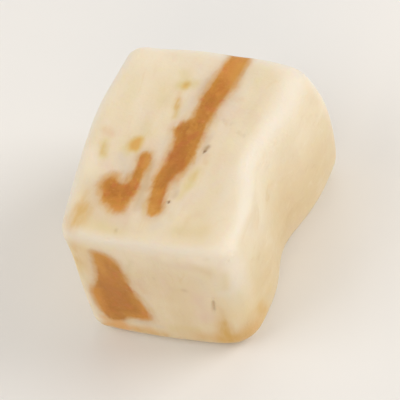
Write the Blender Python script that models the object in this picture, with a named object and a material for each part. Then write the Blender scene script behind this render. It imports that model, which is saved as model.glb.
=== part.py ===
"""A hand-cut block of soft nougat, modelled as one closed solid.

The block is a slab-cut brick of chewy nougat.  Its corners are a little out
of square, its edges are rounded by handling, its right side is pinched in to
a shallow waist, and its underside is flat, so that it stands by itself.

Metres, +Z up.  +X is the block's right, +Y its back.  The origin is at the
middle of the flat underside's level, z = 0.
"""
import bpy
import bmesh
import numpy as np

MM = 0.001

# ---------------------------------------------------------------- driving sizes (mm)
WIDTH = 21.2           # along X
LENGTH = 27.9          # along Y
HEIGHT = 18.4          # along Z

# Signs name the corners and edges: (x, y, z), -1 is left, front or bottom, and
# 0 marks the axis that an edge runs along.
LEFT, FRONT, BOTTOM = -1, -1, -1
RIGHT, BACK, TOP = 1, 1, 1

# How far the knife left each corner out of square, in plan (x, y).
CORNER_SHIFT = {
    (LEFT, FRONT, TOP): (0.20, -0.10),
    (RIGHT, FRONT, TOP): (0.20, 0.30),
    (RIGHT, BACK, TOP): (0.10, -0.10),
    (LEFT, BACK, TOP): (-0.40, 0.30),
    (LEFT, FRONT, BOTTOM): (0.30, -0.40),
    (RIGHT, FRONT, BOTTOM): (-1.00, -0.20),
    (RIGHT, BACK, BOTTOM): (0.50, 0.20),
    (LEFT, BACK, BOTTOM): (0.00, 0.00),
}

# How far the middle of an edge stands off the straight line between its corners.
EDGE_BOW = {
    (0, FRONT, TOP): (0.0, -0.40, -0.30),     # front rim sags a little
    (RIGHT, 0, TOP): (-0.25, 0.0, 0.0),
    (0, BACK, TOP): (0.0, 0.55, 0.0),
    (LEFT, 0, TOP): (-1.50, 0.0, 0.0),        # left side bulges
    (RIGHT, 0, BOTTOM): (0.65, 0.0, 0.0),
    (0, FRONT, BOTTOM): (0.0, -0.40, 0.0),
    (RIGHT, BACK, 0): (1.40, 0.70, 0.0),      # back right corner swells at mid height
    (LEFT, FRONT, 0): (-0.10, 0.0, 0.0),
}

# Rounding radius of each edge; a pair runs from the -X, -Y or bottom end to the other.
EDGE_RADIUS = {
    (0, FRONT, TOP): (1.75, 1.20),
    (RIGHT, 0, TOP): (1.45, 2.90),
    (LEFT, 0, TOP): (1.80, 1.80),
    (0, BACK, TOP): (2.00, 2.00),
    (RIGHT, FRONT, 0): (3.45, 3.45),
    (LEFT, FRONT, 0): (2.25, 2.25),
    (RIGHT, BACK, 0): (2.60, 2.60),
    (LEFT, BACK, 0): (2.00, 2.00),
    (0, FRONT, BOTTOM): (1.75, 1.75),
    (RIGHT, 0, BOTTOM): (2.90, 2.90),
    (LEFT, 0, BOTTOM): (2.00, 2.00),
    (0, BACK, BOTTOM): (2.00, 2.00),
}
EDGE_REACH = 0.22      # how far an edge's radius is felt, in half-lengths

# The pinched waist of the right side.
WAIST_DEPTH_TOP = 1.55
WAIST_DEPTH_BOTTOM = 1.65
WAIST_PLACE = -0.02    # along Y, in half-lengths from the middle
WAIST_WIDTH = 0.33     # in half-lengths

# Soft unevenness of the cut faces: (height mm, wavelengths mm along x, y, z, phase).
WAVES = (
    (0.075, (23.0, 31.0, 47.0), 0.7),
    (0.065, (-17.0, 14.0, 21.0), 2.9),
    (0.050, (12.0, -19.0, 11.0), 4.4),
    (0.035, (9.0, 8.0, -13.0), 1.6),
)
GRID_CUTS = 21         # cuts along each edge of the starting cube

HALF = np.array([WIDTH, LENGTH, HEIGHT]) / 2.0


def smooth(t):
    t = np.clip(t, 0.0, 1.0)
    return t * t * (3.0 - 2.0 * t)


def edge_radius(p):
    """Rounding radius wanted at each cube point, blended from the nearby edges."""
    total = np.full(len(p), 1e-4)
    radius = np.full(len(p), 1e-4 * 2.0)
    for signs, (start, end) in EDGE_RADIUS.items():
        axis = signs.index(0)
        first, second = [i for i in range(3) if i != axis]
        away = np.maximum(1.0 - signs[first] * p[:, first],
                          1.0 - signs[second] * p[:, second])
        weight = np.exp(-(away / EDGE_REACH) ** 2)
        along = smooth((p[:, axis] + 1.0) / 2.0)
        radius += weight * (start + (end - start) * along)
        total += weight
    return radius / total


def rounded_box(p):
    """Cube points in [-1, 1] moved to a box of the real size with rounded edges."""
    r = edge_radius(p)[:, None]
    flat = p * HALF
    core = np.clip(flat, r - HALF, HALF - r)
    out = flat - core
    normal = out / np.linalg.norm(out, axis=1, keepdims=True)
    return (core + normal * r) / HALF, normal


def skewed(q):
    """Box points pulled to the out-of-square corners and the bowed edges."""
    result = np.zeros_like(q)
    for signs, shift in CORNER_SHIFT.items():
        weight = np.prod([(1.0 + signs[i] * q[:, i]) / 2.0 for i in range(3)], axis=0)
        corner = np.array([signs[0] * HALF[0] + shift[0],
                           signs[1] * HALF[1] + shift[1],
                           (signs[2] + 1) * HALF[2]])
        result += weight[:, None] * corner
    for signs, bow in EDGE_BOW.items():
        weight = np.ones(len(q))
        for i in range(3):
            if signs[i] == 0:
                weight = weight * (1.0 - q[:, i] ** 2)
            else:
                weight = weight * (1.0 + signs[i] * q[:, i]) / 2.0
        result += weight[:, None] * np.array(bow)
    return result


def waist(p):
    """How far the right side is pinched in at each cube point."""
    side = np.clip((p[:, 0] + 1.0) / 2.0, 0.0, 1.0) ** 2
    up = (p[:, 2] + 1.0) / 2.0
    depth = WAIST_DEPTH_BOTTOM + (WAIST_DEPTH_TOP - WAIST_DEPTH_BOTTOM) * up
    return side * depth * np.exp(-((p[:, 1] - WAIST_PLACE) / WAIST_WIDTH) ** 2)


def unevenness(point):
    """Height of the soft unevenness at each point, in mm."""
    height = np.zeros(len(point))
    for size, lengths, phase in WAVES:
        turns = sum(point[:, i] / lengths[i] for i in range(3))
        height += size * np.sin(2.0 * np.pi * turns + phase)
    return height


def block_surface(p):
    """Points of the block's surface in mm, for points on the cube [-1, 1]."""
    q, normal = rounded_box(p)
    point = skewed(q)
    point[:, 0] -= waist(p)
    # the underside stays flat: its unevenness fades out at its rim
    fade = smooth((point[:, 2] - 0.3) / 3.0)
    point += normal * (unevenness(point) * fade)[:, None]
    point[normal[:, 2] < -0.9999, 2] = 0.0
    return point


def build_block():
    bm = bmesh.new()
    bmesh.ops.create_cube(bm, size=2.0)
    bmesh.ops.subdivide_edges(bm, edges=bm.edges[:], cuts=GRID_CUTS, use_grid_fill=True)
    bm.verts.ensure_lookup_table()
    cube = np.array([v.co[:] for v in bm.verts], dtype=float)
    cube = np.sin(cube * np.pi / 2.0)          # more rows near the edges, for the rounding
    surface = block_surface(np.clip(cube, -1.0, 1.0))
    for vert, place in zip(bm.verts, surface):
        vert.co = place * MM
    # the middle of the box round the block goes over the origin
    low = surface.min(axis=0) * MM
    high = surface.max(axis=0) * MM
    bmesh.ops.translate(bm, verts=bm.verts[:],
                        vec=(-(low[0] + high[0]) / 2, -(low[1] + high[1]) / 2, 0.0))
    bmesh.ops.recalc_face_normals(bm, faces=bm.faces[:])
    mesh = bpy.data.meshes.new("nougat")
    bm.to_mesh(mesh)
    bm.free()
    mesh.shade_smooth()
    return mesh


def nougat_material():
    material = bpy.data.materials.new("nougat_cream")
    material.use_nodes = True
    shader = material.node_tree.nodes["Principled BSDF"]
    shader.inputs["Base Color"].default_value = (0.81, 0.68, 0.47, 1.0)
    shader.inputs["Roughness"].default_value = 0.45
    shader.inputs["Metallic"].default_value = 0.0
    return material


def main():
    for old in list(bpy.data.objects):
        bpy.data.objects.remove(old, do_unlink=True)
    block = bpy.data.objects.new("nougat", build_block())
    block.data.materials.append(nougat_material())
    bpy.context.scene.collection.objects.link(block)


main()
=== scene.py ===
"""The finished look of a hand-cut block of soft nougat.

The block's form follows the same sizes as the solid it stands for.  On top of
that come the fine things: the skin's soft lumps, air bubbles opened by the
knife, hairline creases, and caramel marbling that runs through the block as
upright layers and so crosses the top, the front, the back and the underside.
Lengths are in millimetres until the mesh is written in metres.
"""
import math

import bpy
import numpy as np
from mathutils import Matrix, Vector


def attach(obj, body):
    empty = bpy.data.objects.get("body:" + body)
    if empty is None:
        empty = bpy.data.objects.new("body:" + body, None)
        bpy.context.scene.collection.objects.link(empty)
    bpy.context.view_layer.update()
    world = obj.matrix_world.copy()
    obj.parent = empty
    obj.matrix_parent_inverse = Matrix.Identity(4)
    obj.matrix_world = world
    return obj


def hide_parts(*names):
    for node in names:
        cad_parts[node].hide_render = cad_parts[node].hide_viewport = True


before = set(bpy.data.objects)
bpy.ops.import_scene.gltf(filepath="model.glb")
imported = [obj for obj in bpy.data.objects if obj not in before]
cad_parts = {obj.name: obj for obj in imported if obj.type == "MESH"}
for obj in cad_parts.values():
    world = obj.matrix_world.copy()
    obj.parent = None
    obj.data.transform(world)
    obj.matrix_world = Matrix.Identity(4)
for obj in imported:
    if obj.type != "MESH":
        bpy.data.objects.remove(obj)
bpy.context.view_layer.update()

MM = 0.001

# ================================================================ the block's form
WIDTH, LENGTH, HEIGHT = 21.2, 27.9, 18.4
HALF = np.array([WIDTH, LENGTH, HEIGHT]) / 2.0
LEFT, FRONT, BOTTOM = -1, -1, -1
RIGHT, BACK, TOP = 1, 1, 1

CORNER_SHIFT = {
    (LEFT, FRONT, TOP): (0.20, -0.10),
    (RIGHT, FRONT, TOP): (0.20, 0.30),
    (RIGHT, BACK, TOP): (0.10, -0.10),
    (LEFT, BACK, TOP): (-0.40, 0.30),
    (LEFT, FRONT, BOTTOM): (0.30, -0.40),
    (RIGHT, FRONT, BOTTOM): (-1.00, -0.20),
    (RIGHT, BACK, BOTTOM): (0.50, 0.20),
    (LEFT, BACK, BOTTOM): (0.00, 0.00),
}
EDGE_BOW = {
    (0, FRONT, TOP): (0.0, -0.40, -0.30),
    (RIGHT, 0, TOP): (-0.25, 0.0, 0.0),
    (0, BACK, TOP): (0.0, 0.55, 0.0),
    (LEFT, 0, TOP): (-1.50, 0.0, 0.0),
    (RIGHT, 0, BOTTOM): (0.65, 0.0, 0.0),
    (0, FRONT, BOTTOM): (0.0, -0.40, 0.0),
    (RIGHT, BACK, 0): (1.40, 0.70, 0.0),
    (LEFT, FRONT, 0): (-0.10, 0.0, 0.0),
}
EDGE_RADIUS = {
    (0, FRONT, TOP): (1.75, 1.20),
    (RIGHT, 0, TOP): (1.45, 2.90),
    (LEFT, 0, TOP): (1.80, 1.80),
    (0, BACK, TOP): (2.00, 2.00),
    (RIGHT, FRONT, 0): (3.45, 3.45),
    (LEFT, FRONT, 0): (2.25, 2.25),
    (RIGHT, BACK, 0): (2.60, 2.60),
    (LEFT, BACK, 0): (2.00, 2.00),
    (0, FRONT, BOTTOM): (1.75, 1.75),
    (RIGHT, 0, BOTTOM): (2.90, 2.90),
    (LEFT, 0, BOTTOM): (2.00, 2.00),
    (0, BACK, BOTTOM): (2.00, 2.00),
}
EDGE_REACH = 0.22
WAIST_DEPTH_TOP, WAIST_DEPTH_BOTTOM = 1.55, 1.65
WAIST_PLACE, WAIST_WIDTH = -0.02, 0.33
WAVES = (
    (0.075, (23.0, 31.0, 47.0), 0.7),
    (0.065, (-17.0, 14.0, 21.0), 2.9),
    (0.050, (12.0, -19.0, 11.0), 4.4),
    (0.035, (9.0, 8.0, -13.0), 1.6),
)
COARSE_CUTS = 21


def smooth(t):
    t = np.clip(t, 0.0, 1.0)
    return t * t * (3.0 - 2.0 * t)


def edge_radius(p):
    total = np.full(len(p), 1e-4)
    radius = np.full(len(p), 1e-4 * 2.0)
    for signs, (start, end) in EDGE_RADIUS.items():
        axis = signs.index(0)
        first, second = [i for i in range(3) if i != axis]
        away = np.maximum(1.0 - signs[first] * p[:, first],
                          1.0 - signs[second] * p[:, second])
        weight = np.exp(-(away / EDGE_REACH) ** 2)
        along = smooth((p[:, axis] + 1.0) / 2.0)
        radius += weight * (start + (end - start) * along)
        total += weight
    return radius / total


def rounded_box(p):
    r = edge_radius(p)[:, None]
    flat = p * HALF
    core = np.clip(flat, r - HALF, HALF - r)
    out = flat - core
    normal = out / np.linalg.norm(out, axis=1, keepdims=True)
    return (core + normal * r) / HALF, normal


def skewed(q):
    result = np.zeros_like(q)
    for signs, shift in CORNER_SHIFT.items():
        weight = np.prod([(1.0 + signs[i] * q[:, i]) / 2.0 for i in range(3)], axis=0)
        corner = np.array([signs[0] * HALF[0] + shift[0],
                           signs[1] * HALF[1] + shift[1],
                           (signs[2] + 1) * HALF[2]])
        result += weight[:, None] * corner
    for signs, bow in EDGE_BOW.items():
        weight = np.ones(len(q))
        for i in range(3):
            if signs[i] == 0:
                weight = weight * (1.0 - q[:, i] ** 2)
            else:
                weight = weight * (1.0 + signs[i] * q[:, i]) / 2.0
        result += weight[:, None] * np.array(bow)
    return result


def waist(p):
    side = np.clip((p[:, 0] + 1.0) / 2.0, 0.0, 1.0) ** 2
    up = (p[:, 2] + 1.0) / 2.0
    depth = WAIST_DEPTH_BOTTOM + (WAIST_DEPTH_TOP - WAIST_DEPTH_BOTTOM) * up
    return side * depth * np.exp(-((p[:, 1] - WAIST_PLACE) / WAIST_WIDTH) ** 2)


def unevenness(point):
    height = np.zeros(len(point))
    for size, lengths, phase in WAVES:
        turns = sum(point[:, i] / lengths[i] for i in range(3))
        height += size * np.sin(2.0 * np.pi * turns + phase)
    return height


def block_surface(p):
    q, normal = rounded_box(p)
    point = skewed(q)
    point[:, 0] -= waist(p)
    fade = smooth((point[:, 2] - 0.3) / 3.0)
    point += normal * (unevenness(point) * fade)[:, None]
    point[normal[:, 2] < -0.9999, 2] = 0.0
    return point, normal


# ================================================================ mesh of a cube's skin
def cube_skin(counts):
    """Lattice points on the skin of a cube, its quads, and a chart number and place for each quad corner."""
    counts = np.array(counts)
    span = counts + 1
    keys, quads, charts = [], [], []
    start = 0
    for axis in range(3):
        b, c = (axis + 1) % 3, (axis + 2) % 3
        for sign in (0, 1):
            i, j = np.meshgrid(np.arange(span[b]), np.arange(span[c]), indexing="ij")
            lattice = np.zeros(i.shape + (3,), np.int64)
            lattice[..., axis] = counts[axis] * sign
            lattice[..., b], lattice[..., c] = i, j
            keys.append((lattice @ np.array([span[1] * span[2], span[2], 1])).ravel())
            number = start + np.arange(i.size).reshape(i.shape)
            quad = np.stack([number[:-1, :-1], number[1:, :-1], number[1:, 1:], number[:-1, 1:]], -1)
            place = np.stack([i / counts[b], j / counts[c]], -1)
            corner = np.stack([place[:-1, :-1], place[1:, :-1], place[1:, 1:], place[:-1, 1:]], -2)
            if sign == 0:
                quad, corner = quad[..., ::-1], corner[..., ::-1, :]
            quads.append(quad.reshape(-1, 4))
            charts.append((axis * 2 + sign, corner.reshape(-1, 4, 2)))
            start += i.size
    kept, merged = np.unique(np.concatenate(keys), return_inverse=True)
    lattice = np.stack([kept // (span[1] * span[2]), kept // span[2] % span[1], kept % span[2]], 1)
    return lattice / counts * 2.0 - 1.0, merged[np.concatenate(quads)], charts


def relaxed(points, quads, rounds, share=0.5):
    """The points drawn a little towards their neighbours, which takes out pinches."""
    a = quads.ravel()
    b = np.roll(quads, -1, axis=1).ravel()
    count = np.bincount(a, minlength=len(points)).astype(float) * 2.0
    for _ in range(rounds):
        total = np.stack([np.bincount(a, points[b, k], len(points))
                          + np.bincount(b, points[a, k], len(points)) for k in range(3)], 1)
        points = points + (total / count[:, None] - points) * share
    return points


def vertex_normals(points, quads):
    across = points[quads[:, 2]] - points[quads[:, 0]]
    other = points[quads[:, 3]] - points[quads[:, 1]]
    flat = np.cross(across, other)
    total = np.stack([np.bincount(quads.ravel(), np.repeat(flat[:, k], 4), len(points))
                      for k in range(3)], 1)
    return total / np.linalg.norm(total, axis=1, keepdims=True)


# ================================================================ noise and distances
def lattice_hash(cell, seed):
    cell = cell & 0xFFFFFFFF
    h = (cell[..., 0] * 0x8DA6B343 + cell[..., 1] * 0xD8163841 + cell[..., 2] * 0xCB1AB31F
         + seed * 0x9E3779B1) & 0xFFFFFFFF
    for _ in range(2):
        h = ((h ^ (h >> 15)) * 0x2C1B3C6D) & 0xFFFFFFFF
        h = ((h ^ (h >> 13)) * 0x297A2D39) & 0xFFFFFFFF
    return h ^ (h >> 16)


def noise(p, seed):
    """Gradient noise, about -1 to 1, one feature per unit."""
    cell = np.floor(p).astype(np.int64)
    f = p - cell
    u = f * f * f * (f * (f * 6.0 - 15.0) + 10.0)
    total = np.zeros(len(p))
    for corner in range(8):
        o = np.array([corner & 1, corner >> 1 & 1, corner >> 2 & 1])
        h = lattice_hash(cell + o, seed)
        gradient = np.stack([(h & 1023), (h >> 10 & 1023), (h >> 20 & 1023)], -1) / 511.5 - 1.0
        weight = np.prod(np.where(o == 1, u, 1.0 - u), axis=1)
        total += weight * ((f - o) * gradient).sum(1)
    return total * 1.15


def wobble(p, size, seed):
    """Noise of that size in mm at p, one column for each axis, to move p about."""
    return np.stack([noise(p / size + 7.7 * k, seed + k) for k in range(3)], 1)


def rounded_outline(points, steps=5):
    """A closed smooth curve through the points."""
    p = np.array(points, float)
    out = []
    for i in range(len(p)):
        a, b, c, d = (p[(i + k) % len(p)] for k in (-1, 0, 1, 2))
        for t in np.linspace(0.0, 1.0, steps, endpoint=False):
            out.append(0.5 * (2 * b + (c - a) * t + (2 * a - 5 * b + 4 * c - d) * t ** 2
                              + (3 * b - a - 3 * c + d) * t ** 3))
    return np.array(out)


def inside_outline(p, outline):
    """Distance in mm to a closed outline, above zero inside it."""
    nearest = np.full(len(p), 1e9)
    inside = np.zeros(len(p), bool)
    for a, b in zip(outline, np.roll(outline, -1, axis=0)):
        step = b - a
        t = np.clip(((p - a) @ step) / max(step @ step, 1e-12), 0.0, 1.0)
        nearest = np.minimum(nearest, ((p - a - t[:, None] * step) ** 2).sum(1))
        crosses = (a[1] > p[:, 1]) != (b[1] > p[:, 1])
        at = a[0] + (p[:, 1] - a[1]) / (b[1] - a[1] + 1e-12) * step[0]
        inside ^= crosses & (p[:, 0] < at)
    return np.sqrt(nearest) * np.where(inside, 1.0, -1.0)


def inside_strand(p, points, radii):
    """Distance in mm to a strand through points with a radius at each, above zero inside it."""
    best = np.full(len(p), -1e9)
    points = np.array(points, float)
    for k in range(len(points) - 1):
        a, step = points[k], points[k + 1] - points[k]
        t = np.clip(((p - a) @ step) / (step @ step), 0.0, 1.0)
        r = radii[k] + (radii[k + 1] - radii[k]) * t
        best = np.maximum(best, r - np.linalg.norm(p - a - t[:, None] * step, axis=1))
    return best


# ================================================================ caramel marbling
# Outlines on the top are (x, y), on the front (x, z).
TOP_STRIPE = [
    (1.7, 16.2), (1.5, 14.6), (1.3, 12.9), (1.0, 11.6), (0.7, 10.3), (0.25, 8.8), (-0.05, 7.2),
    (-0.05, 5.6), (-0.25, 4.4), (-1.15, 3.4), (-1.75, 2.4), (-1.35, 1.2), (-1.1, -0.8), (-1.25, -2.6),
    (-1.5, -4.0), (-1.7, -5.3), (-1.45, -7.0), (-1.35, -8.5), (-0.85, -9.5), (0.05, -9.75),
    (0.6, -8.9), (0.5, -7.4), (0.35, -5.8), (0.6, -4.6), (1.4, -3.1), (1.95, -1.4), (2.1, 0.8),
    (2.2, 2.8), (2.35, 4.8), (2.6, 6.6), (3.2, 8.3), (3.6, 10.2), (3.75, 12.0), (3.8, 13.8),
    (3.75, 16.2),
]
TOP_HOOK = [
    (-3.6, -1.45), (-3.0, -1.8), (-2.8, -2.8), (-2.85, -4.2), (-2.95, -5.8), (-3.2, -7.4),
    (-3.4, -9.0), (-3.9, -9.95), (-5.2, -9.75), (-6.4, -8.95), (-7.25, -7.9), (-7.7, -6.7),
    (-7.4, -5.8), (-6.8, -5.25), (-6.1, -5.2), (-5.5, -5.75), (-4.95, -6.0), (-4.55, -5.45),
    (-4.35, -4.2), (-4.4, -2.9), (-4.45, -2.1), (-4.1, -1.55),
]
TOP_SPOT = [
    (-5.8, 0.5), (-5.3, 0.7), (-4.85, 0.55), (-4.75, 0.15), (-4.7, -0.3), (-4.65, -0.75),
    (-4.75, -1.15), (-5.0, -1.45), (-5.45, -1.5), (-5.9, -1.35), (-6.2, -0.95), (-6.35, -0.5),
    (-6.2, -0.1), (-6.0, 0.25),
]
TOP_DOT = [
    (-3.1, 8.65), (-2.7, 9.45), (-2.1, 9.55), (-1.6, 8.95), (-1.8, 8.1), (-2.4, 7.75), (-2.95, 8.0),
]
FRONT_PATCH = [
    (-6.7, 15.6), (-6.1, 15.8), (-5.3, 15.6), (-4.6, 15.25), (-4.05, 14.75), (-3.75, 14.1),
    (-3.45, 12.8), (-3.25, 11.2), (-2.95, 9.0), (-2.5, 6.9), (-2.1, 5.1), (-2.1, 3.95), (-3.1, 3.75),
    (-4.5, 3.85), (-5.8, 3.3), (-7.0, 3.0), (-7.85, 4.2), (-8.3, 5.8), (-8.55, 7.2), (-8.55, 8.5),
    (-7.75, 9.6), (-7.3, 11.0), (-6.95, 13.0), (-6.85, 14.4),
]
# On the faces that the picture doesn't show, the layers end as strands in the same manner:
# points and radii.
STRANDS = [
    # back: the top stripe's layer runs on down, and a thinner one beside it
    ([(2.75, 13.6, 18.2), (2.6, 14.9, 15.6), (2.0, 15.0, 12.6), (2.5, 15.0, 9.9), (2.1, 15.0, 7.4),
      (1.7, 15.0, 5.9)], (1.25, 1.15, 0.95, 1.25, 0.62, 0.1)),
    ([(1.2, 15.0, 13.2), (0.7, 15.0, 11.4), (0.9, 15.0, 9.9)], (0.15, 0.34, 0.08)),
    ([(-4.9, 14.8, 13.8), (-5.6, 14.8, 11.8), (-6.1, 14.8, 9.7), (-5.6, 14.8, 7.9), (-5.1, 14.8, 6.6)],
     (0.12, 0.55, 0.85, 0.50, 0.08)),
    ([(-7.7, 14.6, 5.4), (-7.3, 14.6, 4.4), (-7.0, 14.6, 3.4)], (0.15, 0.48, 0.12)),
    # underside
    ([(-5.9, -12.6, 0.0), (-5.0, -9.4, 0.0), (-5.6, -5.8, 0.0), (-4.9, -2.0, 0.0), (-5.3, 0.8, 0.0)],
     (0.9, 1.4, 1.5, 0.8, 0.2)),
    ([(2.2, 12.6, 0.0), (2.8, 8.8, 0.0), (2.2, 5.6, 0.0), (1.7, 2.8, 0.0)], (0.9, 1.35, 0.9, 0.25)),
    ([(6.4, -4.6, 0.0), (6.9, -7.6, 0.0)], (0.45, 0.25)),
]
# Thin golden films of caramel, soft at the edge: two ends, radii, edge softness, strength.
GOLD = [
    ((-2.55, 6.5, 18.2), (-2.40, 5.7, 18.2), (0.28, 0.34), 0.52, 1.00),
    ((-2.40, 5.6, 18.2), (-2.25, 4.2, 18.2), (0.24, 0.16), 0.52, 0.68),
    ((-9.15, -1.1, 18.2), (-8.9, -2.2, 18.2), (0.20, 0.26), 0.50, 0.55),
    ((-8.9, -8.0, 18.3), (-8.6, -10.2, 18.3), (0.30, 0.75), 1.1, 0.55),
    ((-8.6, -10.2, 18.3), (-8.9, -11.8, 18.2), (0.80, 1.00), 1.1, 0.74),
    ((-8.8, -11.8, 18.2), (-9.1, -12.6, 17.8), (0.80, 0.50), 1.2, 0.34),
    ((-10.0, -9.4, 17.6), (-10.2, -11.0, 17.4), (0.30, 0.35), 1.0, 0.28),
    ((-9.0, -14.1, 15.9), (-9.1, -14.0, 13.4), (0.75, 0.75), 1.3, 0.60),
    ((-4.0, -14.5, 1.8), (-0.8, -14.6, 1.5), (0.45, 0.40), 0.8, 0.55),
    ((4.0, -14.5, 1.5), (6.4, -14.3, 1.5), (0.45, 0.60), 0.9, 0.45),
    ((-9.4, -13.9, 13.0), (-9.5, -14.0, 10.6), (0.60, 0.35), 1.2, 0.42),
    ((-11.0, -12.6, 15.6), (-11.2, -10.6, 12.2), (0.50, 0.80), 1.8, 0.36),
    ((7.4, -14.1, 7.4), (7.25, -14.2, 5.4), (0.10, 0.22), 0.8, 0.50),
    ((7.1, -14.2, 5.2), (7.0, -14.4, 2.2), (0.40, 1.15), 0.9, 1.00),
    ((7.2, -14.4, 2.2), (9.0, -13.6, 2.2), (0.60, 0.60), 1.3, 0.60),
    ((10.4, -10.9, 4.5), (10.45, -10.2, 3.2), (0.50, 0.60), 0.9, 0.62),
    ((2.75, -3.2, 18.1), (2.75, -4.0, 18.1), (0.20, 0.22), 0.50, 0.50),
    ((3.35, 12.8, 18.3), (3.15, 10.2, 18.3), (0.35, 0.15), 0.60, 0.70),
    ((-1.6, -7.6, 18.1), (-1.3, -9.2, 18.1), (0.20, 0.30), 0.55, 0.50),
    ((-7.2, -8.9, 18.2), (-5.2, -10.1, 18.2), (0.20, 0.25), 0.60, 0.50),
    ((8.4, 14.6, 12.6), (7.8, 14.8, 8.4), (0.35, 0.75), 1.0, 0.62),
    ((-1.6, 14.9, 16.4), (-1.3, 15.0, 15.0), (0.12, 0.22), 0.6, 0.55),
    ((-1.3, 15.0, 15.0), (-1.2, 15.0, 13.2), (0.22, 0.10), 0.6, 0.45),
    ((-2.4, 15.0, 5.4), (-1.6, 15.0, 3.6), (0.35, 0.25), 0.7, 0.50),
    ((8.6, 5.0, 0.0), (8.2, 8.4, 0.0), (0.4, 0.6), 0.9, 0.55),
    ((-1.2, -9.0, 0.0), (-0.8, -5.0, 0.0), (0.3, 0.45), 0.8, 0.50),
]
# Faint yellow, a little green.
YELLOW = [
    ((-3.0, 10.4, 18.3), (-2.5, 9.4, 18.3), (0.45, 0.55), 0.7, 0.60),
    ((-3.0, 8.6, 18.3), (-1.6, 9.0, 18.3), (0.62, 0.58), 0.6, 0.92),
    ((-2.4, 5.2, 18.2), (-2.2, 4.0, 18.2), (0.28, 0.20), 0.5, 0.60),
    ((-9.2, -0.5, 18.2), (-8.8, -2.5, 18.2), (0.35, 0.45), 0.6, 1.00),
    ((-10.4, 0.8, 17.8), (-10.5, -1.0, 17.8), (0.35, 0.35), 0.9, 0.50),
    ((-6.6, -1.2, 18.3), (-5.9, -1.9, 18.3), (0.30, 0.30), 0.6, 0.70),
    ((-5.0, 2.6, 18.3), (-4.8, 0.9, 18.3), (0.25, 0.30), 0.8, 0.45),
    ((2.9, -2.8, 18.1), (2.5, -5.0, 18.1), (0.32, 0.45), 0.6, 0.95),
    ((2.5, -5.0, 18.1), (2.1, -6.8, 18.2), (0.45, 0.32), 0.6, 0.80),
    ((-8.0, 3.0, 18.3), (-8.6, 8.0, 18.3), (0.30, 0.50), 1.4, 0.40),
    ((-5.2, 8.2, 18.3), (-4.2, 6.2, 18.3), (0.30, 0.40), 1.4, 0.35),
    ((1.9, -9.3, 18.2), (2.4, -9.8, 18.2), (0.20, 0.20), 0.6, 0.40),
    ((-8.0, -11.5, 18.0), (-6.2, -12.0, 18.0), (0.50, 0.45), 1.2, 0.45),
    ((3.8, -11.3, 18.2), (6.2, -11.2, 18.1), (0.50, 0.50), 1.3, 0.46),
    ((5.6, -10.2, 18.3), (6.6, -10.6, 18.3), (0.40, 0.40), 1.2, 0.30),
    ((6.0, 12.4, 18.2), (7.0, 11.2, 18.2), (0.40, 0.40), 1.3, 0.35),
    ((-5.6, -12.0, 18.0), (-3.2, -12.5, 18.0), (0.45, 0.40), 0.9, 0.50),
    ((-3.9, -12.1, 18.0), (-3.7, -12.6, 18.0), (0.20, 0.20), 0.4, 0.60),
    ((6.4, 6.6, 18.3), (7.4, 3.6, 18.3), (0.40, 0.40), 1.4, 0.40),
    ((-1.4, -9.6, 18.1), (-1.7, -8.2, 18.1), (0.15, 0.15), 0.45, 0.70),
    ((5.2, 11.6, 18.3), (5.8, 9.8, 18.3), (0.30, 0.30), 1.2, 0.35),
    ((2.2, -14.2, 10.6), (1.6, -14.3, 9.0), (0.30, 0.40), 0.9, 0.40),
    ((0.4, -14.5, 3.0), (3.4, -14.5, 3.4), (0.45, 0.45), 0.9, 0.60),
    ((-8.8, -14.1, 12.6), (-9.0, -14.2, 9.6), (0.35, 0.30), 0.9, 0.55),
    ((8.8, -13.6, 14.0), (8.6, -13.8, 11.6), (0.30, 0.35), 0.8, 0.45),
    ((-2.0, -14.3, 15.2), (-2.9, -14.4, 12.6), (0.20, 0.20), 0.6, 0.45),
    ((-2.2, -14.4, 8.2), (-1.7, -14.4, 5.6), (0.12, 0.20), 0.5, 0.60),
    ((9.6, -12.9, 9.6), (9.4, -13.0, 4.4), (0.80, 0.90), 1.8, 0.42),
    ((10.4, -10.0, 12.0), (10.2, -11.0, 5.0), (0.60, 0.80), 2.0, 0.30),
    ((-4.0, 15.0, 9.0), (-3.4, 15.0, 6.0), (0.40, 0.40), 1.3, 0.40),
    ((5.2, 15.0, 7.0), (5.8, 15.0, 4.0), (0.40, 0.50), 1.4, 0.40),
]
# Brown or reddish films.
FILM = [
    ((-2.75, 7.5, 18.3), (-2.6, 6.6, 18.2), (0.12, 0.18), 0.45, 0.42),
    ((-9.7, 1.0, 18.4), (-8.8, 0.5, 18.3), (0.35, 0.30), 0.7, 0.46),
    ((4.2, 7.7, 18.3), (4.9, 7.7, 18.4), (0.20, 0.15), 0.5, 0.26),
    ((3.4, -0.6, 18.2), (3.6, -1.6, 18.2), (0.16, 0.14), 0.45, 0.34),
    ((1.25, -4.2, 18.2), (1.35, -5.2, 18.2), (0.10, 0.10), 0.40, 0.40),
    ((6.9, -14.2, 8.6), (7.3, -14.2, 7.8), (0.14, 0.14), 0.6, 0.28),
    ((-2.0, -14.4, 11.0), (-1.7, -14.4, 9.4), (0.25, 0.20), 0.7, 0.34),
    ((3.8, -14.5, 2.3), (5.6, -14.4, 2.4), (0.30, 0.30), 0.9, 0.30),
    ((9.2, -12.4, 4.4), (9.0, -12.8, 2.8), (0.40, 0.40), 1.2, 0.26),
    ((4.0, 15.0, 9.8), (4.3, 15.0, 7.6), (0.15, 0.20), 0.6, 0.34),
    ((-7.7, 0.6, 0.0), (-7.1, 3.2, 0.0), (0.3, 0.4), 0.8, 0.40),
]
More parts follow.
